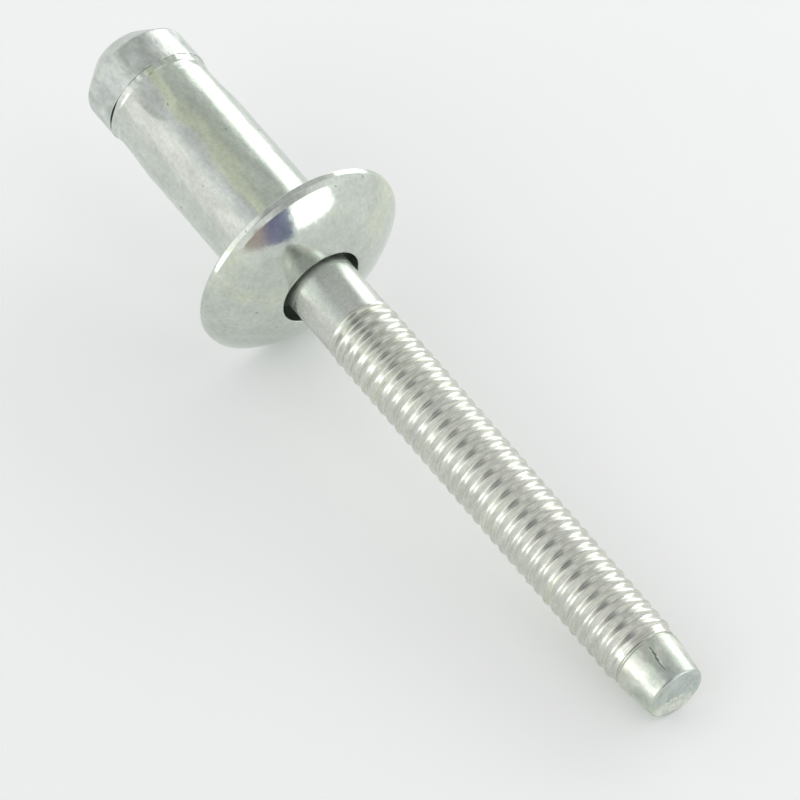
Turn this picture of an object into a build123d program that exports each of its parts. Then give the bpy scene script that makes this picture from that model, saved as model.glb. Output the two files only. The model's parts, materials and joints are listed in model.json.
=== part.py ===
from build123d import *
from math import asin, atan2, cos, hypot, sin, sqrt
import os

# A structural blind rivet as supplied, not yet set: a flanged steel sleeve on a headed pull mandrel.
# It lies where it comes to rest, on the edge of its flange and the end of its stem.
# Lengths are in millimetres. Places along the rivet's axis start at the flange's underside and
# grow towards the free end of the stem, so the sleeve and the mandrel's head have negative places.

# Sizes that both pieces follow
sleeve_radius = 3.2
sleeve_length = 13.33
stem_radius = 2.0
stem_clearance = 0.05

# Turn about the axis, from the upper side, of the section that both pieces are revolved from
section_turn = 20.25

# Flange: a thin rim band under a spherical dome, with a recess round the stem in the middle
flange_radius = 6.425
flange_height = 2.4
rim_band = 0.3
rim_round = 0.11
underside_chamfer = 0.08
recess_gap = 0.45
recess_depth = 1.3
recess_chamfer = 0.1

# Sleeve end: a rolled lip against the mandrel's head, a neck behind it and four crimps
lip_length = 0.33
lip_drop = 0.06
lip_chamfer = 0.11
neck_length = 0.1
neck_drop = 0.12
neck_rise_length = 0.55
bore_chamfer = 0.3
crimp_count = 4
crimp_depth = 0.16
crimp_jaw_radius = 14.0
crimp_from_end = 1.35
crimp_turn = 29.0

# Mandrel head: a cylinder as wide as the sleeve, with a blunt cone beyond it
head_length = 2.12
head_chamfer = 0.1
nose_length = 1.3
nose_radius = 1.9
nose_chamfer = 0.25
under_head_chamfer = 0.2

# Plain stem, with the notch where it breaks when the rivet is set
notch_place = -1.4
notch_depth = 0.35
notch_half_width = 0.3

# Pull grooves: rolled rings that the setting tool's jaws grip
groove_place = 5.78
lead_length = 0.46
lead_rise = 0.04
ridge_count = 32
ridge_pitch = 0.784
crest_rise = 0.087
crest_width = 0.3
root_drop = 0.06
run_out_length = 0.2

# Tail: a narrow groove, then a plain end that tapers to a chamfer
tail_groove_width = 0.28
tail_groove_drop = 0.15
tail_length = 2.57
tail_drop = 0.03
tail_taper = 0.29
tail_end_chamfer = 0.13

# Places along the axis and radii that follow from those sizes
seat = -sleeve_length
head_far = seat - head_length
nose_end = head_far - nose_length
bore_radius = stem_radius + stem_clearance
recess_radius = stem_radius + recess_gap
lip_radius = sleeve_radius - lip_drop
neck_radius = sleeve_radius - neck_drop
lip_end = seat + lip_length
neck_end = lip_end + neck_length
neck_rise_end = neck_end + neck_rise_length
root_radius = stem_radius - root_drop
crest_radius = stem_radius + crest_rise
ridges_start = groove_place + lead_length
ridges_end = ridges_start + ridge_count * ridge_pitch
flank_length = (ridge_pitch - crest_width) / 2
last_crest_end = ridges_end - flank_length
run_out_end = ridges_end + run_out_length
tail_start = run_out_end + tail_groove_width
tail_end = tail_start + tail_length
tail_groove_radius = stem_radius - tail_groove_drop
tail_radius = stem_radius - tail_drop
tail_end_radius = tail_radius - tail_taper

# The dome is a sphere about the axis, through the rim band's front and the recess's edge
dome_centre = (
    (flange_height**2 + recess_radius**2 - rim_band**2 - flange_radius**2)
    / (2 * (flange_height - rim_band))
)
dome_radius = hypot(rim_band - dome_centre, flange_radius)
dome_top = dome_centre + dome_radius

# Centre of the rounding between rim band and dome, and the point where it runs into the dome
corner_radius = flange_radius - rim_round
corner_place = dome_centre + sqrt((dome_radius - rim_round) ** 2 - corner_radius**2)
corner_share = dome_radius / (dome_radius - rim_round)
dome_start = (
    dome_centre + (corner_place - dome_centre) * corner_share,
    corner_radius * corner_share,
)

# Where the tail's end and its taper meet the chamfer between them
tail_corner_place = tail_end - tail_end_chamfer
tail_corner_radius = tail_end_radius + tail_taper * tail_end_chamfer / tail_length


def lean_on(place, radius):
    """Angle between the axis and a floor that touches the rim's rounding and an edge further along."""
    run = place - corner_place
    drop = corner_radius - radius
    return atan2(drop, run) + asin(rim_round / hypot(run, drop))


# The rivet tips until the first of these edges meets the floor
lean = min(
    lean_on(tail_corner_place, tail_corner_radius),
    lean_on(tail_start, tail_radius),
    lean_on(last_crest_end, crest_radius),
)
axis_height = corner_place * sin(lean) + corner_radius * cos(lean) + rim_round
front_reach = tail_end * cos(lean) + (tail_end_radius - tail_end_chamfer) * sin(lean)
back_reach = nose_end * cos(lean) - (nose_radius - nose_chamfer) * sin(lean)
flange_centre = Vector(-(front_reach + back_reach) / 2, 0, axis_height)
stem_direction = Vector(cos(lean), 0, -sin(lean))
upper_side = Vector(sin(lean), 0, cos(lean))

# Sections are drawn along the axis and outwards from it, on a side that keeps the seam off the floor
section_side = upper_side.rotate(Axis((0, 0, 0), stem_direction), section_turn)
meridian = Plane(flange_centre, x_dir=stem_direction, z_dir=stem_direction.cross(section_side))
rivet_axis = Axis(flange_centre, stem_direction)


def across_at(place):
    """Plane across the axis, facing the free end of the stem, with its x towards the upper side."""
    return Plane(flange_centre + stem_direction * place, x_dir=upper_side, z_dir=stem_direction)


os.makedirs("parts", exist_ok=True)

# Sleeve and domed flange, cold-formed in one piece and crimped round the stem at the far end
with BuildPart() as rivet_body:
    with BuildSketch(meridian) as body_section:
        with BuildLine():
            Polyline(
                (dome_top, 0),
                (seat, 0),
                (seat, lip_radius),
                (lip_end, lip_radius),
                (neck_end, neck_radius),
                (neck_rise_end, sleeve_radius),
                (0, sleeve_radius),
                (0, flange_radius),
                (corner_place, flange_radius),
            )
            RadiusArc((corner_place, flange_radius), dome_start, rim_round)
            RadiusArc(dome_start, (dome_top, 0), dome_radius)
        make_face()
        body_corners = body_section.vertices()
        chamfer(body_corners.sort_by_distance((seat, lip_radius))[0], lip_chamfer)
        chamfer(body_corners.sort_by_distance((0, flange_radius))[0], underside_chamfer)
    revolve(axis=rivet_axis)
    with Locations(across_at(dome_top)):
        CounterBoreHole(bore_radius, recess_radius, dome_top - flange_height + recess_depth)
    recess_edge = rivet_body.edges().sort_by(rivet_axis)[-1]
    chamfer(recess_edge, recess_chamfer)
    bore_edge = rivet_body.edges().group_by(rivet_axis)[0].sort_by(SortBy.RADIUS)[0]
    chamfer(bore_edge, bore_chamfer)
    with Locations(across_at(seat + crimp_from_end)):
        with PolarLocations(sleeve_radius - crimp_depth + crimp_jaw_radius, crimp_count, crimp_turn):
            Cylinder(crimp_jaw_radius, 2 * sleeve_radius, rotation=(90, 0, 0), mode=Mode.SUBTRACT)
rivet_body.part.label = "rivet_body"
export_step(rivet_body.part, "parts/rivet_body.step")

# Mandrel, headed and rolled from one wire: nose, head, plain stem, pull grooves and tail
with BuildPart() as mandrel:
    with BuildSketch(meridian) as mandrel_section:
        with BuildLine():
            Polyline(
                (nose_end, 0),
                (nose_end, nose_radius),
                (head_far, sleeve_radius),
                (seat, sleeve_radius),
                (seat, stem_radius),
                (notch_place - notch_half_width, stem_radius),
                (notch_place, stem_radius - notch_depth),
                (notch_place + notch_half_width, stem_radius),
                (groove_place, stem_radius),
                (groove_place + lead_length / 2, stem_radius + lead_rise),
                (ridges_start, root_radius),
            )
            for ridge in range(ridge_count):
                ridge_start = ridges_start + ridge * ridge_pitch
                Polyline(
                    (ridge_start, root_radius),
                    (ridge_start + flank_length, crest_radius),
                    (ridge_start + flank_length + crest_width, crest_radius),
                    (ridge_start + ridge_pitch, root_radius),
                )
            Polyline(
                (ridges_end, root_radius),
                (run_out_end, root_radius),
                (run_out_end, tail_groove_radius),
                (tail_start, tail_groove_radius),
                (tail_start, tail_radius),
                (tail_end, tail_end_radius),
                (tail_end, 0),
                (nose_end, 0),
            )
        make_face()
        corners = mandrel_section.vertices()
        chamfer(corners.sort_by_distance((nose_end, nose_radius))[0], nose_chamfer)
        chamfer(corners.sort_by_distance((seat, sleeve_radius))[0], head_chamfer)
        chamfer(corners.sort_by_distance((seat, stem_radius))[0], under_head_chamfer)
        chamfer(corners.sort_by_distance((tail_end, tail_end_radius))[0], tail_end_chamfer)
    revolve(axis=rivet_axis)
mandrel.part.label = "mandrel"
export_step(mandrel.part, "parts/mandrel.step")
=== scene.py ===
import json
from math import atan2, ceil, cos, hypot, pi, radians, sin, sqrt, tan

import bpy
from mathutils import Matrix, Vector


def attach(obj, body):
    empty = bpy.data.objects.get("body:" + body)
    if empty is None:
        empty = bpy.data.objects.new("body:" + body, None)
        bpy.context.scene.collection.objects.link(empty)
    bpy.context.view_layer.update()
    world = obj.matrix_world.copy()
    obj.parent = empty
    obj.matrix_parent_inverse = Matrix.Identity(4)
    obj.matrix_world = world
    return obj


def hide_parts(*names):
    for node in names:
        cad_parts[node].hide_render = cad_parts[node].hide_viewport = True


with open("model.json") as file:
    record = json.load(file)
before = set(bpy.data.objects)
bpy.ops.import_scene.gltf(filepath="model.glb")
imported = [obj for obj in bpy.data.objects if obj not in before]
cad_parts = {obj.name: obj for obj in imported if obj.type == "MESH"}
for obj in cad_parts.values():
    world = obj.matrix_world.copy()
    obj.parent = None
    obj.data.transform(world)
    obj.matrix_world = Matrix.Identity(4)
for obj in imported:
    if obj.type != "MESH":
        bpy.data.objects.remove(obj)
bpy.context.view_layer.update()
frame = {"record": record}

# Rivet body: a steel sleeve and its domed flange, cold-headed in one piece and bright zinc plated.
# The far end of the sleeve is rolled in to a lip and crimped at four places, which holds the
# mandrel until the rivet is set. The recess in the dome leaves a dark ring round the stem, partly its
# own shadow and partly shade painted on the recess's faces.
sleeve_radius = 0.00320
sleeve_length = 0.01333
bore_radius = 0.00205
bore_mouth = 0.00030
flange_radius = 0.006425
flange_height = 0.00240
rim_band = 0.00030
rim_front = 0.00034
rim_front_radius = 0.00633
rim_round = 0.00006
facet_radius = 0.00607
facet_round = 0.00008
underside_round = 0.00008
flange_root_round = 0.00010
recess_radius = 0.00245
recess_depth = 0.00130
recess_round = 0.00014
recess_drop = 0.00015
drop_fade_radius = 0.00420
drop_fade_width = 0.00150
lip_length = 0.00033
lip_radius = 0.00314
lip_round = 0.00003
lip_back_round = 0.00004
lip_burr = 0.00007
lip_gap = (radians(62), radians(102))
lip_gap_width = 0.00010
lip_edge_length = 0.00008
neck_length = 0.00010
neck_radius = 0.00308
neck_rise = 0.00055
neck_round = 0.00005
neck_rise_round = 0.00080
crimp_count = 4
crimp_depth = 0.00016
crimp_jaw_radius = 0.0140
crimp_place = -0.01198
crimp_turn = radians(29)
crimp_ring_gap = 0.00009
crimp_first_ring = 0.00020
crimp_reach = 0.00230
dome_rings = 30
recess_edge_steps = 8
turn_steps = 180
near = 0.00001

mounts = {mount["name"]: mount for mount in frame["record"]["mounts"]}
stem_direction = -Vector(mounts["flange_underside"]["axis"])
flange_point = Vector(mounts["flange_underside"]["pos_m"])
flange_centre = Vector((flange_point.x, 0, flange_point.z))
lean = atan2(-stem_direction.z, stem_direction.x)


def rounded_section(corners):
    """Half section through corners given as (place along the axis, radius, rounding)."""
    section = []
    for index, (place, radius, rounding) in enumerate(corners):
        corner = Vector((place, radius))
        if rounding == 0:
            section.append(corner)
            continue
        back = (Vector(corners[index - 1][:2]) - corner).normalized()
        onward = (Vector(corners[(index + 1) % len(corners)][:2]) - corner).normalized()
        bend = back.angle(-onward)
        reach = rounding * tan(bend / 2)
        centre = corner + (back + onward).normalized() * (rounding / cos(bend / 2))
        first = corner + back * reach - centre
        last = corner + onward * reach - centre
        steps = max(2, ceil(bend / radians(11)))
        for step in range(steps + 1):
            section.append(centre + first.slerp(last, step / steps) * rounding)
    return section


def turned_piece(name, section):
    """Draws a half section point by point and spins it about the X axis into a closed skin."""
    bpy.ops.object.select_all(action="DESELECT")
    bpy.ops.mesh.primitive_plane_add(size=sleeve_radius, location=(0, 0, 0))
    piece = bpy.context.active_object
    piece.name = name
    bpy.ops.object.mode_set(mode="EDIT")
    bpy.ops.mesh.select_all(action="SELECT")
    bpy.ops.mesh.merge(type="CENTER")
    bpy.ops.transform.translate(value=(section[0].x, 0, section[0].y))
    for here, there in zip(section, section[1:]):
        step = there - here
        bpy.ops.mesh.extrude_region_move(TRANSFORM_OT_translate={"value": (step.x, 0, step.y)})
    bpy.ops.mesh.select_all(action="SELECT")
    bpy.ops.mesh.spin(steps=turn_steps, angle=2 * pi, center=(0, 0, 0), axis=(1, 0, 0))
    bpy.ops.mesh.select_all(action="SELECT")
    bpy.ops.mesh.remove_doubles(threshold=1e-7)
    bpy.ops.mesh.normals_make_consistent(inside=False)
    bpy.ops.object.mode_set(mode="OBJECT")
    return piece


def lay_down(piece):
    """Tips a piece from the X axis to the way that the rivet lies, and shades its curves smooth."""
    bpy.ops.object.select_all(action="DESELECT")
    piece.select_set(True)
    bpy.context.view_layer.objects.active = piece
    piece.rotation_euler = (0, lean, 0)
    piece.location = flange_centre
    bpy.ops.object.transform_apply(location=True, rotation=True, scale=True)
    bpy.ops.object.shade_smooth_by_angle(angle=radians(35))


seat = -sleeve_length
lip_end = seat + lip_length
neck_end = lip_end + neck_length
neck_rise_end = neck_end + neck_rise
dome_centre = (
    (flange_height**2 + recess_radius**2 - rim_band**2 - flange_radius**2)
    / (2 * (flange_height - rim_band))
)
dome_radius = hypot(rim_band - dome_centre, flange_radius)

# The rim tapers, a narrow facet leads from it to the dome, and the dome runs into the rounded
# edge of the recess
facet_place = dome_centre + sqrt(dome_radius**2 - facet_radius**2)
facet_slope = atan2(facet_radius, facet_place - dome_centre)
edge_radius = recess_radius + recess_round
edge_place = dome_centre + sqrt((dome_radius - recess_round) ** 2 - edge_radius**2)
edge_slope = atan2(edge_radius, edge_place - dome_centre)

body_section = rounded_section([
    (seat + bore_mouth, bore_radius, 0),
    (seat, bore_radius + bore_mouth, 0),
    (seat, lip_radius, lip_round),
    (lip_end, lip_radius, lip_back_round),
    (neck_end, neck_radius, neck_round),
    (neck_rise_end, sleeve_radius, neck_rise_round),
    (0, sleeve_radius, 0),
])[:-1]

# Close rings under the crimps, so that the jaws leave a smooth flat
crimp_rings = int((crimp_place + crimp_reach - neck_rise_end) / crimp_ring_gap)
for ring in range(crimp_rings):
    ring_place = neck_rise_end + crimp_first_ring + ring * crimp_ring_gap
    body_section.append(Vector((ring_place, sleeve_radius)))
first_slope = facet_slope + (edge_slope - facet_slope) / dome_rings
body_section += rounded_section([
    (seat, sleeve_radius, 0),
    (0, sleeve_radius, flange_root_round),
    (0, flange_radius, underside_round),
    (rim_front, rim_front_radius, rim_round),
    (facet_place, facet_radius, facet_round),
    (dome_centre + dome_radius * cos(first_slope), dome_radius * sin(first_slope), 0),
])[1:]
for ring in range(2, dome_rings):
    slope = facet_slope + (edge_slope - facet_slope) * ring / dome_rings
    body_section.append(Vector((dome_centre + dome_radius * cos(slope), dome_radius * sin(slope))))
for step in range(recess_edge_steps + 1):
    turn = edge_slope - (edge_slope + pi / 2) * step / recess_edge_steps
    body_section.append(Vector((
        edge_place + recess_round * cos(turn),
        edge_radius + recess_round * sin(turn),
    )))
recess_floor = flange_height - recess_depth
body_section.append(Vector((recess_floor, recess_radius)))
body_section.append(Vector((recess_floor, bore_radius)))
body_section.append(body_section[0])

body = turned_piece("plated_sleeve_and_flange", body_section)

# The body sags on the stem by the play in its bore, so the recess sits a little low round the stem
for vertex in body.data.vertices:
    outward = hypot(vertex.co.y, vertex.co.z)
    if vertex.co.x > recess_floor - near and outward > bore_radius + near:
        fade = (drop_fade_radius - outward) / drop_fade_width
        vertex.co.z -= recess_drop * min(1, max(0, fade))

# Each crimp is the flat that a jaw with a rounded nose leaves across the sleeve
for vertex in body.data.vertices:
    along = vertex.co.x - crimp_place
    if abs(along) >= crimp_jaw_radius:
        continue
    jaw_nose = crimp_jaw_radius - sqrt(crimp_jaw_radius**2 - along**2)
    jaw_height = sleeve_radius - crimp_depth + jaw_nose
    for crimp in range(crimp_count):
        turn = crimp_turn + crimp * 2 * pi / crimp_count
        jaw_side = Vector((0, -sin(turn), cos(turn)))
        proud = vertex.co.dot(jaw_side) - jaw_height
        if proud > 0:
            vertex.co -= jaw_side * proud

# The rolled edge of the lip is ragged, and stands open for a short way on one side
for vertex in body.data.vertices:
    outward = hypot(vertex.co.y, vertex.co.z)
    turn = atan2(-vertex.co.y, vertex.co.z)
    if vertex.co.x > seat + lip_edge_length or outward < neck_radius:
        continue
    if lip_gap[0] < turn < lip_gap[1]:
        gap_share = (turn - lip_gap[0]) / (lip_gap[1] - lip_gap[0])
        vertex.co.x += lip_gap_width * sin(pi * gap_share)
    else:
        ragged = 0.55 + 0.25 * sin(17 * turn) + 0.2 * sin(41 * turn + 1)
        vertex.co.yz = vertex.co.yz * (1 + lip_burr * ragged / outward)
lay_down(body)


def plated_finish(name, tints, gloss, patchiness, dent_depth, grain_depth, run, pit_start, tint_and_painted_light_bands=None):
    """Zinc plate with a clear passivation: drifting tints, uneven gloss, shallow dents, sparse pits,
    and, where bands are given, tints with painted reflection in bands by angle.
    """
    finish = bpy.data.materials.new(name)
    finish.use_nodes = True
    nodes = finish.node_tree.nodes
    links = finish.node_tree.links
    surface = nodes["Principled BSDF"]
    surface.inputs["Metallic"].default_value = 1.0

    # Patterns are read along the rivet's axis, some of them drawn out along it
    place = nodes.new("ShaderNodeTexCoord")
    along_axis = nodes.new("ShaderNodeMapping")
    along_axis.vector_type = "TEXTURE"
    along_axis.inputs["Location"].default_value = flange_centre
    along_axis.inputs["Rotation"].default_value = (0, lean, 0)
    links.new(place.outputs["Object"], along_axis.inputs["Vector"])
    drawn_out = nodes.new("ShaderNodeMapping")
    drawn_out.inputs["Scale"].default_value = run
    links.new(along_axis.outputs["Vector"], drawn_out.inputs["Vector"])

    # Tints drift over the plate from green grey to straw and to lilac
    tint_noise = nodes.new("ShaderNodeTexNoise")
    tint_noise.inputs["Scale"].default_value = 430
    tint_noise.inputs["Detail"].default_value = 4
    tint_noise.inputs["Roughness"].default_value = 0.6
    tint_noise.inputs["Distortion"].default_value = 0.4
    links.new(drawn_out.outputs["Vector"], tint_noise.inputs["Vector"])
    tint = nodes.new("ShaderNodeValToRGB")
    tint.color_ramp.elements[0].position = tints[0][0]
    tint.color_ramp.elements[0].color = (*tints[0][1], 1)
    tint.color_ramp.elements[1].position = tints[-1][0]
    tint.color_ramp.elements[1].color = (*tints[-1][1], 1)
    for position, colour in tints[1:-1]:
        tint.color_ramp.elements.new(position).color = (*colour, 1)
    links.new(tint_noise.outputs["Fac"], tint.inputs["Fac"])
    tinted = tint.outputs["Color"]

    # On drawn lengths the tint also runs in bands along the axis, at angles from the upper side: partly
    # the plate's own tint, partly painted reflection that makes each side lighter or darker as the room
    # lights it
    if tint_and_painted_light_bands:
        parts = nodes.new("ShaderNodeSeparateXYZ")
        links.new(along_axis.outputs["Vector"], parts.inputs["Vector"])
        turn = nodes.new("ShaderNodeMath")
        turn.operation = "ARCTAN2"
        links.new(parts.outputs["Y"], turn.inputs[0])
        links.new(parts.outputs["Z"], turn.inputs[1])
        turn_share = nodes.new("ShaderNodeMapRange")
        turn_share.inputs["From Min"].default_value = pi
        turn_share.inputs["From Max"].default_value = -pi
        links.new(turn.outputs["Value"], turn_share.inputs["Value"])
        waver = nodes.new("ShaderNodeMath")
        waver.operation = "MULTIPLY_ADD"
        waver.inputs[1].default_value = 0.10
        links.new(tint_noise.outputs["Fac"], waver.inputs[0])
        links.new(turn_share.outputs["Result"], waver.inputs[2])
        tint_and_painted_light_band = nodes.new("ShaderNodeValToRGB")
        tint_and_painted_light_band.color_ramp.elements[0].position = 0.0
        tint_and_painted_light_band.color_ramp.elements[0].color = (*tint_and_painted_light_bands[0][1], 1)
        tint_and_painted_light_band.color_ramp.elements[1].position = 1.0
        tint_and_painted_light_band.color_ramp.elements[1].color = (*tint_and_painted_light_bands[-1][1], 1)
        for angle, colour in tint_and_painted_light_bands:
            tint_and_painted_light_band.color_ramp.elements.new(0.55 + angle / 360).color = (*colour, 1)
        links.new(waver.outputs["Value"], tint_and_painted_light_band.inputs["Fac"])
        tint_and_painted_light_banded = nodes.new("ShaderNodeMix")
        tint_and_painted_light_banded.data_type = "RGBA"
        tint_and_painted_light_banded.inputs["Factor"].default_value = 0.85
        links.new(tinted, tint_and_painted_light_banded.inputs["A"])
        links.new(tint_and_painted_light_band.outputs["Color"], tint_and_painted_light_banded.inputs["B"])
        tinted = tint_and_painted_light_banded.outputs["Result"]

    # The plate is lighter and darker in small patches, and its crystals give it a fine grain
    patch_noise = nodes.new("ShaderNodeTexNoise")
    patch_noise.inputs["Scale"].default_value = 1700
    patch_noise.inputs["Detail"].default_value = 4
    patch_noise.inputs["Roughness"].default_value = 0.6
    links.new(drawn_out.outputs["Vector"], patch_noise.inputs["Vector"])
    patch_shade = nodes.new("ShaderNodeMapRange")
    patch_shade.inputs["From Min"].default_value = 0.3
    patch_shade.inputs["From Max"].default_value = 0.7
    patch_shade.inputs["To Min"].default_value = 1 - patchiness
    patch_shade.inputs["To Max"].default_value = 1 + patchiness
    links.new(patch_noise.outputs["Fac"], patch_shade.inputs["Value"])
    grain_noise = nodes.new("ShaderNodeTexNoise")
    grain_noise.inputs["Scale"].default_value = 4200
    grain_noise.inputs["Detail"].default_value = 5
    grain_noise.inputs["Roughness"].default_value = 0.65
    links.new(along_axis.outputs["Vector"], grain_noise.inputs["Vector"])
    grain_shade = nodes.new("ShaderNodeMapRange")
    grain_shade.inputs["From Min"].default_value = 0.3
    grain_shade.inputs["From Max"].default_value = 0.7
    grain_shade.inputs["To Min"].default_value = 0.90
    grain_shade.inputs["To Max"].default_value = 1.10
    links.new(grain_noise.outputs["Fac"], grain_shade.inputs["Value"])
    shade = nodes.new("ShaderNodeMath")
    shade.operation = "MULTIPLY"
    links.new(patch_shade.outputs["Result"], shade.inputs[0])
    links.new(grain_shade.outputs["Result"], shade.inputs[1])
    mottled = nodes.new("ShaderNodeMix")
    mottled.data_type = "RGBA"
    mottled.blend_type = "MULTIPLY"
    mottled.inputs["Factor"].default_value = 1.0
    links.new(tinted, mottled.inputs["A"])
    links.new(shade.outputs["Value"], mottled.inputs["B"])

    # A few dark pits
    pit_noise = nodes.new("ShaderNodeTexNoise")
    pit_noise.inputs["Scale"].default_value = 2100
    pit_noise.inputs["Detail"].default_value = 2
    links.new(along_axis.outputs["Vector"], pit_noise.inputs["Vector"])
    pit_mask = nodes.new("ShaderNodeMapRange")
    pit_mask.inputs["From Min"].default_value = pit_start
    pit_mask.inputs["From Max"].default_value = pit_start + 0.05
    pit_mask.inputs["To Max"].default_value = 0.8
    links.new(pit_noise.outputs["Fac"], pit_mask.inputs["Value"])
    pitted = nodes.new("ShaderNodeMix")
    pitted.data_type = "RGBA"
    pitted.inputs["B"].default_value = (0.20, 0.19, 0.15, 1)
    links.new(pit_mask.outputs["Result"], pitted.inputs["Factor"])
    links.new(mottled.outputs["Result"], pitted.inputs["A"])
    links.new(pitted.outputs["Result"], surface.inputs["Base Color"])

    # The gloss is uneven in the same patches
    gloss_range = nodes.new("ShaderNodeMapRange")
    gloss_range.inputs["From Min"].default_value = 0.3
    gloss_range.inputs["From Max"].default_value = 0.7
    gloss_range.inputs["To Min"].default_value = gloss[0]
    gloss_range.inputs["To Max"].default_value = gloss[1]
    links.new(patch_noise.outputs["Fac"], gloss_range.inputs["Value"])
    links.new(gloss_range.outputs["Result"], surface.inputs["Roughness"])

    # Shallow relief: the dents of handling, and the grain of the plate
    dents = nodes.new("ShaderNodeBump")
    dents.inputs["Strength"].default_value = 1.0
    dents.inputs["Distance"].default_value = dent_depth
    links.new(patch_noise.outputs["Fac"], dents.inputs["Height"])
    grain = nodes.new("ShaderNodeBump")
    grain.inputs["Strength"].default_value = 1.0
    grain.inputs["Distance"].default_value = grain_depth
    links.new(grain_noise.outputs["Fac"], grain.inputs["Height"])
    links.new(dents.outputs["Normal"], grain.inputs["Normal"])
    links.new(grain.outputs["Normal"], surface.inputs["Normal"])
    return finish


# The flange's dome is smooth from the die, the drawn sleeve is duller, and the recess is painted dark
# as shade
green_grey = (0.610, 0.655, 0.600)
straw = (0.672, 0.712, 0.580)
lilac = (0.553, 0.590, 0.566)
green = (0.530, 0.595, 0.520)
rose = (0.662, 0.675, 0.630)
lime = (0.650, 0.708, 0.540)
body_tints = [(0.28, lilac), (0.42, green_grey), (0.54, green_grey), (0.68, straw)]
# Bands by angle round the sleeve: partly the plate's tint, partly painted reflection, lighter and
# darker side by side
sleeve_tint_and_painted_light_bands = [
    (-60, green_grey), (-12, green), (10, green), (16, lime), (22, lime),
    (28, lilac), (34, lilac), (42, green_grey), (50, rose), (62, rose), (74, green_grey),
]
sleeve_plate = plated_finish(
    "bright_zinc_on_sleeve", body_tints,
    gloss=(0.17, 0.31), patchiness=0.11, dent_depth=0.000009, grain_depth=0.000005,
    run=(0.3, 1, 1), pit_start=0.73, tint_and_painted_light_bands=sleeve_tint_and_painted_light_bands,
)
dome_plate = plated_finish(
    "bright_zinc_on_dome", body_tints,
    gloss=(0.09, 0.17), patchiness=0.08, dent_depth=0.000009, grain_depth=0.000002,
    run=(0.5, 0.5, 0.5), pit_start=0.73,
)
# A dark, dull plate: painted shade for the faces of the recess and of the tail's crease
painted_shade_skin = plated_finish(
    "dull_zinc_with_painted_shade", [(0.3, (0.20, 0.23, 0.20)), (0.7, (0.30, 0.32, 0.28))],
    gloss=(0.40, 0.60), patchiness=0.10, dent_depth=0.000008, grain_depth=0.000004,
    run=(1, 1, 1), pit_start=0.80,
)
body_plates = [sleeve_plate, dome_plate, painted_shade_skin]
for plate in body_plates:
    body.data.materials.append(plate)
for face in body.data.polygons:
    out = face.center - flange_centre
    along = out.dot(stem_direction)
    outward = (out - stem_direction * along).length
    if along > -flange_root_round:
        # Faces deep in the recess take the dark plate, painted shade in the hollow
        in_recess = recess_floor - near < along < edge_place - near
        if in_recess and outward < recess_radius + recess_drop:
            face.material_index = body_plates.index(painted_shade_skin)
        else:
            face.material_index = body_plates.index(dome_plate)
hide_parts("rivet_body")
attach(body, "root")

# Mandrel: steel wire with a headed, blunt-nosed end, rolled pull grooves and a cropped, tapered tail.
# It is plated like the body, and sits in the bore with its head drawn up against the sleeve's lip.
# The setting tool grips the grooves and pulls until the wire breaks at the hidden notch.
stem_radius = 0.00200
head_length = 0.00212
head_seat_round = 0.00003
head_far_round = 0.00032
nose_length = 0.00130
nose_radius = 0.00190
nose_round = 0.00035
under_head = 0.00020
notch_place = -0.00140
notch_depth = 0.00035
notch_half_width = 0.00030
rubbed_end = 0.00262
groove_place = 0.00578
lead_length = 0.00046
lead_rise = 0.00004
ridge_count = 32
ridge_pitch = 0.000784
ridge_crest = 0.002087
ridge_root = 0.00194
ridge_steps = 14
ridge_rise_share = 0.65
ridge_straightness = 0.4
ridge_shift = 0.15
run_out_length = 0.00035
run_out_round = 0.00005
tail_groove_width = 0.00013
tail_groove_radius = 0.00185
tail_groove_round = 0.00003
tail_length = 0.00257
tail_radius = 0.00197
tail_shoulder_round = 0.00012
tail_end_radius = 0.00168
tail_end_round = 0.00015
tail_dish = 0.00020
tail_dish_rings = 8
crease_turn = radians(13)
crease_half_width = radians(1.7)
crease_depth = 0.00005
crease_waver = 0.04
crease_span = (0.1, 0.7)
# How far up from the bottom of the end the torn part, painted bright as a highlight, reaches
torn_and_painted_highlight_part = 0.00060

head_far = seat - head_length
nose_end = head_far - nose_length
ridges_start = groove_place + lead_length - ridge_shift * ridge_pitch
ridges_end = ridges_start + ridge_count * ridge_pitch
run_out_end = ridges_end + ridge_shift * ridge_pitch + run_out_length
tail_start = run_out_end + tail_groove_width
tail_end = tail_start + tail_length

mandrel_section = rounded_section([
    (nose_end, 0, 0),
    (nose_end, nose_radius, nose_round),
    (head_far, sleeve_radius, head_far_round),
    (seat, sleeve_radius, head_seat_round),
    (seat, stem_radius + under_head, 0),
    (seat + under_head, stem_radius, 0),
    (notch_place - notch_half_width, stem_radius, 0),
    (notch_place, stem_radius - notch_depth, 0),
    (notch_place + notch_half_width, stem_radius, 0),
    (rubbed_end, stem_radius, 0),
    (groove_place, stem_radius, 0),
])
lead_run = ridges_start - groove_place
for step in range(1, ridge_steps):
    share = step / ridge_steps
    swell = lead_rise * sin(pi * share) - (stem_radius - ridge_root) * share**2
    mandrel_section.append(Vector((groove_place + lead_run * share, stem_radius + swell)))

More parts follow.
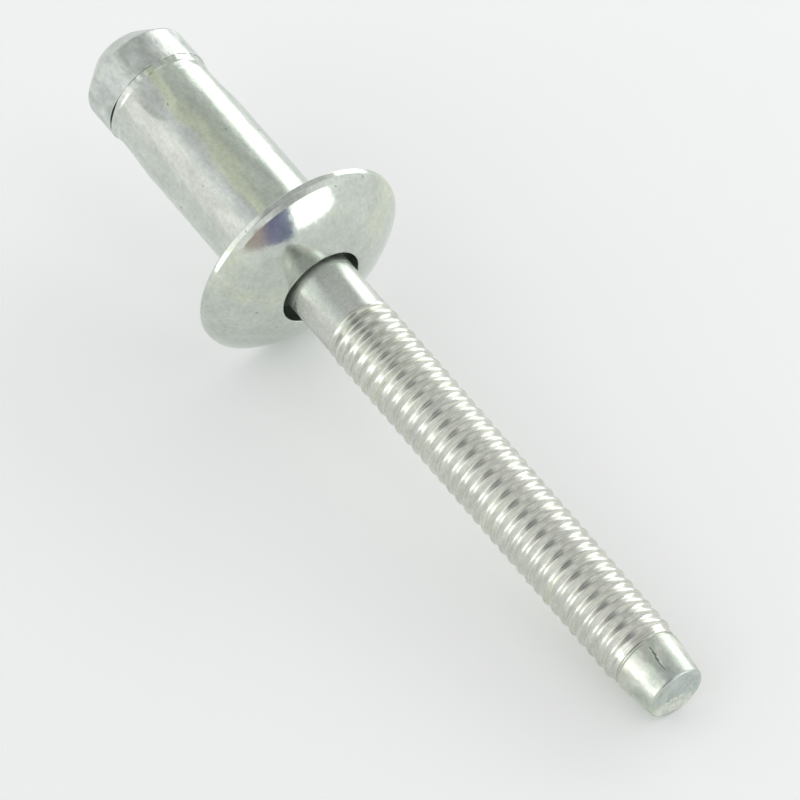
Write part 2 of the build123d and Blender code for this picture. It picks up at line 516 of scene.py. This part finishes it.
# Each rolled ring rises gently from its root and falls more steeply towards the tail
for ridge in range(ridge_count):
    for step in range(ridge_steps):
        share = step / ridge_steps
        if share < ridge_rise_share:
            climb = share / ridge_rise_share
        else:
            climb = (1 - share) / (1 - ridge_rise_share)
        rounded_climb = (1 - cos(pi * climb)) / 2
        climb = ridge_straightness * climb + (1 - ridge_straightness) * rounded_climb
        mandrel_section.append(Vector((
            ridges_start + (ridge + share) * ridge_pitch,
            ridge_root + (ridge_crest - ridge_root) * climb,
        )))
mandrel_section += rounded_section([
    (ridges_end, ridge_root, 0),
    (run_out_end, ridge_root, run_out_round),
    (run_out_end, tail_groove_radius, tail_groove_round),
    (tail_start, tail_groove_radius, tail_groove_round),
    (tail_start, tail_radius, tail_shoulder_round),
    *[
        (tail_start + tail_length * share, tail_radius + (tail_end_radius - tail_radius) * share, 0)
        for share in (0.14, 0.26, 0.38, 0.50, 0.62, 0.74, 0.86)
    ],
    (tail_end, tail_end_radius, tail_end_round),
    (tail_end, 0, 0),
])[:-1]
dish_radius = tail_end_radius - tail_end_round
for step in range(1, tail_dish_rings + 1):
    inward = dish_radius * (1 - step / tail_dish_rings)
    depth = tail_dish * (1 - (inward / dish_radius) ** 2)
    mandrel_section.append(Vector((tail_end - depth, inward)))

mandrel = turned_piece("plated_mandrel", mandrel_section)


def in_crease(along, turn):
    """Whether a place along the axis and a turn from the upper side lie in the tail's crease."""
    share = (along - tail_start) / tail_length
    aside = turn - crease_turn + crease_waver * sin(8 * share)
    return crease_span[0] < share < crease_span[1] and abs(aside) < crease_half_width


# The rolling has left a short crease along the tail
for vertex in mandrel.data.vertices:
    if in_crease(vertex.co.x, atan2(-vertex.co.y, vertex.co.z)):
        vertex.co.yz = vertex.co.yz * (1 - crease_depth / tail_radius)
lay_down(mandrel)

# The upset head and the cropped tail are duller than the drawn stem and the rolled grooves
cream = (0.638, 0.655, 0.588)
mandrel_tints = [(0.30, lilac), (0.44, green_grey), (0.56, green_grey), (0.70, straw)]
# Bands by angle round the stem: partly the plate's tint, partly painted reflection, lighter and darker
# side by side
stem_tint_and_painted_light_bands = [
    (-60, rose), (-10, green_grey), (8, green_grey), (19, rose), (28, lilac),
    (38, lilac), (48, green_grey), (60, rose), (80, rose),
]
stem_plate = plated_finish(
    "bright_zinc_on_stem", mandrel_tints,
    gloss=(0.22, 0.33), patchiness=0.07, dent_depth=0.000009, grain_depth=0.000002,
    run=(0.25, 1, 1), pit_start=0.76, tint_and_painted_light_bands=stem_tint_and_painted_light_bands,
)
rubbed_plate = plated_finish(
    "rubbed_zinc_in_recess", mandrel_tints,
    gloss=(0.42, 0.52), patchiness=0.10, dent_depth=0.000009, grain_depth=0.000004,
    run=(1, 1, 1), pit_start=0.76,
)
head_plate = plated_finish(
    "dull_zinc_on_head", [(0.30, green), (0.46, lilac), (0.58, green_grey), (0.72, straw)],
    gloss=(0.25, 0.42), patchiness=0.17, dent_depth=0.000040, grain_depth=0.000007,
    run=(0.6, 1, 1), pit_start=0.73,
)
groove_plate = plated_finish(
    "bright_zinc_in_grooves", [(0.28, lilac), (0.40, cream), (0.56, cream), (0.70, straw)],
    gloss=(0.18, 0.31), patchiness=0.16, dent_depth=0.000014, grain_depth=0.000003,
    run=(5, 0.35, 0.35), pit_start=0.76,
)
tail_plate = plated_finish(
    "dull_zinc_on_tail", [(0.30, lilac), (0.42, green), (0.54, cream), (0.70, straw)],
    gloss=(0.26, 0.44), patchiness=0.17, dent_depth=0.000035, grain_depth=0.000006,
    run=(0.5, 1, 1), pit_start=0.73,
)
teal = (0.565, 0.625, 0.590)
moss = (0.600, 0.650, 0.520)
end_plate = plated_finish(
    "cropped_end", [(0.36, teal), (0.50, teal), (0.58, moss), (0.68, straw)],
    gloss=(0.22, 0.40), patchiness=0.18, dent_depth=0.000060, grain_depth=0.000010,
    run=(1, 0.6, 0.6), pit_start=0.74,
)
# The lower part of the cropped end is torn metal, and its colour is also painted brighter than the
# rest: a painted highlight where it faces the lit sheet
torn_and_painted_highlight_plate = plated_finish(
    "torn_end_with_painted_highlight", [(0.34, moss), (0.48, cream), (0.58, (0.80, 0.83, 0.75))],
    gloss=(0.12, 0.26), patchiness=0.20, dent_depth=0.000110, grain_depth=0.000030,
    run=(1, 1, 1), pit_start=0.72,
)
mandrel_plates = [
    stem_plate, head_plate, groove_plate, tail_plate, torn_and_painted_highlight_plate, end_plate, rubbed_plate, painted_shade_skin,
]
for plate in mandrel_plates:
    mandrel.data.materials.append(plate)
upper_side = Vector((sin(lean), 0, cos(lean)))
torn_and_painted_highlight_height = flange_centre.z + stem_direction.z * tail_end - torn_and_painted_highlight_part
for face in mandrel.data.polygons:
    out = face.center - flange_centre
    along = out.dot(stem_direction)
    if along < seat + near:
        plate = head_plate
    # Faces low on the end take the torn finish, painted bright as a highlight
    elif along > tail_end - tail_dish - near and face.normal.dot(stem_direction) > 0.9:
        plate = torn_and_painted_highlight_plate if face.center.z < torn_and_painted_highlight_height else end_plate
    elif along > run_out_end:
        # Faces in the crease take the dark plate: painted shade along the crease
        creased = in_crease(along, atan2(-out.y, out.dot(upper_side)))
        plate = painted_shade_skin if creased else tail_plate
    elif along > groove_place:
        plate = groove_plate
    elif along < rubbed_end:
        plate = rubbed_plate
    else:
        plate = stem_plate
    face.material_index = mandrel_plates.index(plate)
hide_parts("mandrel")
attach(mandrel, "root")

# Floor: a plain pale sheet that the rivet lies on, matt and evenly lit.
bpy.ops.object.select_all(action="DESELECT")
bpy.ops.mesh.primitive_plane_add(size=8, location=(0, 0, 0))
floor = bpy.context.active_object
floor.name = "pale_sheet"
sheet = bpy.data.materials.new("pale_sheet")
sheet.use_nodes = True
sheet_surface = sheet.node_tree.nodes["Principled BSDF"]
sheet_surface.inputs["Base Color"].default_value = (0.92, 0.93, 0.928, 1)
sheet_surface.inputs["Roughness"].default_value = 0.9
sheet_surface.inputs["Specular IOR Level"].default_value = 0.0
sheet_surface.inputs["Emission Color"].default_value = (0.10, 0.10, 0.10, 1)
seen = sheet.node_tree.nodes.new("ShaderNodeLightPath")
seen_or_mirrored = sheet.node_tree.nodes.new("ShaderNodeMath")
seen_or_mirrored.operation = "MAXIMUM"
sheet.node_tree.links.new(seen.outputs["Is Camera Ray"], seen_or_mirrored.inputs[0])
sheet.node_tree.links.new(seen.outputs["Is Glossy Ray"], seen_or_mirrored.inputs[1])
sheet.node_tree.links.new(seen_or_mirrored.outputs["Value"], sheet_surface.inputs["Emission Strength"])
floor.data.materials.append(sheet)


def out_from_flange(azimuth, elevation):
    """Unit direction from the flange to a compass bearing and a height, both in degrees."""
    bearing = radians(azimuth)
    height = radians(elevation)
    return Vector((cos(height) * cos(bearing), cos(height) * sin(bearing), sin(height)))


# Room light: a pale room that is brightest low down and grey overhead, as the metal shows it.
# It is dark round the camera and grey in two other places, with a small bright spot high up on the
# camera's right and a large bright patch on its left.
room = bpy.data.worlds.new("pale_room")
bpy.context.scene.world = room
room.use_nodes = True
room_nodes = room.node_tree.nodes
room_links = room.node_tree.links
room_light = room_nodes["Background"]
direction = room_nodes.new("ShaderNodeTexCoord")
direction_parts = room_nodes.new("ShaderNodeSeparateXYZ")
room_links.new(direction.outputs["Generated"], direction_parts.inputs["Vector"])
height_shade = room_nodes.new("ShaderNodeValToRGB")
room_shades = [
    (0.0, 1.0), (0.17, 0.97), (0.34, 0.92), (0.50, 0.845),
    (0.64, 0.77), (0.77, 0.69), (0.87, 0.645), (1.0, 0.57),
]
height_shade.color_ramp.elements[0].color = (*[room_shades[0][1]] * 3, 1)
height_shade.color_ramp.elements[1].color = (*[room_shades[-1][1]] * 3, 1)
for position, shade in room_shades[1:-1]:
    height_shade.color_ramp.elements.new(position).color = (shade, shade, shade, 1)
room_links.new(direction_parts.outputs["Z"], height_shade.inputs["Fac"])


def room_patch(under, azimuth, elevation, inner, outer, colour):
    """Blends a round patch of another shade into the room, at a bearing and a height in degrees."""
    towards = room_nodes.new("ShaderNodeVectorMath")
    towards.operation = "DOT_PRODUCT"
    towards.inputs[1].default_value = out_from_flange(azimuth, elevation)
    room_links.new(direction.outputs["Generated"], towards.inputs[0])
    fade = room_nodes.new("ShaderNodeMapRange")
    fade.interpolation_type = "SMOOTHSTEP"
    fade.inputs["From Min"].default_value = cos(radians(outer))
    fade.inputs["From Max"].default_value = cos(radians(inner))
    room_links.new(towards.outputs["Value"], fade.inputs["Value"])
    patched = room_nodes.new("ShaderNodeMix")
    patched.data_type = "RGBA"
    patched.inputs["B"].default_value = (*colour, 1)
    room_links.new(fade.outputs["Result"], patched.inputs["Factor"])
    room_links.new(under, patched.inputs["A"])
    return patched.outputs["Result"]


room_shade = room_patch(height_shade.outputs["Color"], -32, 49, 10, 28, (0.28, 0.29, 0.30))
room_shade = room_patch(room_shade, 8, 26, 5, 18, (0.55, 0.55, 0.55))
room_shade = room_patch(room_shade, 150, 42, 8, 24, (0.62, 0.62, 0.62))
room_shade = room_patch(room_shade, 20, 60, 6, 16, (1.0, 1.0, 1.0))
room_shade = room_patch(room_shade, -92, 34, 10, 34, (1.3, 1.3, 1.3))
room_links.new(room_shade, room_light.inputs["Color"])
room_light.inputs["Strength"].default_value = 1.01


def soft_panel(name, azimuth, elevation, distance, width, height, radiance):
    """A soft light panel that faces the rivet from a compass bearing and a height."""
    bpy.ops.object.select_all(action="DESELECT")
    outward = out_from_flange(azimuth, elevation)
    bpy.ops.object.light_add(type="AREA", location=flange_centre + outward * distance)
    panel = bpy.context.active_object
    panel.name = name
    panel.rotation_euler = outward.to_track_quat("Z", "Y").to_euler()
    panel.data.shape = "RECTANGLE"
    panel.data.size = width
    panel.data.size_y = height
    panel.data.energy = radiance * pi * width * height
    panel.visible_camera = False
    return panel


# Three soft panels: behind on the right, low ahead of the stem, and close on the left of the tail
soft_panel("back_panel", 107, 18, 0.36, 0.375, 0.234, 1.38)
front_panel = soft_panel("front_panel", 22.5, 4.5, 0.13, 0.062, 0.048, 1.8)
left_panel = soft_panel("left_panel", -73, 6.7, 0.0999, 0.085, 0.036, 1.35)

# The two near panels stand low over the sheet, so they light only the metal and not the sheet
front_panel.visible_diffuse = False
left_panel.visible_diffuse = False

# A dark card stands past the tail, warm at one end and blue at the other, unseen but in the dome
card_azimuth = -10
card_distance = 0.064
card_width = 0.0367
card_height = 0.0270
bpy.ops.object.select_all(action="DESELECT")
card_foot = flange_centre + out_from_flange(card_azimuth, 0) * card_distance
bpy.ops.mesh.primitive_plane_add(
    size=1,
    location=(card_foot.x, card_foot.y, card_height / 2 + 0.0002),
    rotation=(pi / 2, 0, pi / 2 + radians(card_azimuth)),
)
card = bpy.context.active_object
card.name = "dark_card"
card.scale = (card_width, card_height, 1)
bpy.ops.object.transform_apply(location=False, rotation=False, scale=True)
card.visible_camera = False
card.visible_diffuse = False
card.visible_shadow = False
card_paint = bpy.data.materials.new("dark_card")
card_paint.use_nodes = True
card_nodes = card_paint.node_tree.nodes
card_links = card_paint.node_tree.links
card_surface = card_nodes["Principled BSDF"]
card_surface.inputs["Roughness"].default_value = 1.0
card_surface.inputs["Specular IOR Level"].default_value = 0.0
card_place = card_nodes.new("ShaderNodeTexCoord")
card_across = card_nodes.new("ShaderNodeSeparateXYZ")
card_links.new(card_place.outputs["Object"], card_across.inputs["Vector"])
card_share = card_nodes.new("ShaderNodeMapRange")
card_share.inputs["From Min"].default_value = -card_width / 2
card_share.inputs["From Max"].default_value = card_width / 2
card_links.new(card_across.outputs["X"], card_share.inputs["Value"])
card_colour = card_nodes.new("ShaderNodeValToRGB")
card_colour.color_ramp.elements[0].color = (0.60, 0.50, 0.44, 1)
card_colour.color_ramp.elements[1].color = (0.25, 0.29, 0.40, 1)
card_colour.color_ramp.elements.new(0.34).color = (0.52, 0.42, 0.42, 1)
card_colour.color_ramp.elements.new(0.52).color = (0.24, 0.23, 0.40, 1)
card_links.new(card_share.outputs["Result"], card_colour.inputs["Fac"])
card_links.new(card_colour.outputs["Color"], card_surface.inputs["Base Color"])
card.data.materials.append(card_paint)

# Camera: looks down on the rivet from the tail's side with a long lens, as the photograph does.
camera_azimuth = radians(-35.851)
camera_elevation = radians(45.476)
camera_distance = 0.395084
camera_aim = Vector((-0.001770, 0.001862, 0))
bpy.ops.object.select_all(action="DESELECT")
camera_side = Vector((
    cos(camera_elevation) * cos(camera_azimuth),
    cos(camera_elevation) * sin(camera_azimuth),
    sin(camera_elevation),
))
bpy.ops.object.camera_add(
    location=camera_aim + camera_side * camera_distance,
    rotation=(pi / 2 - camera_elevation, 0, pi / 2 + camera_azimuth),
)
camera = bpy.context.active_object
camera.data.sensor_width = 36
camera.data.lens = 327.253
camera.data.clip_start = 0.01
bpy.context.scene.camera = camera
bpy.context.scene.view_settings.view_transform = "Standard"
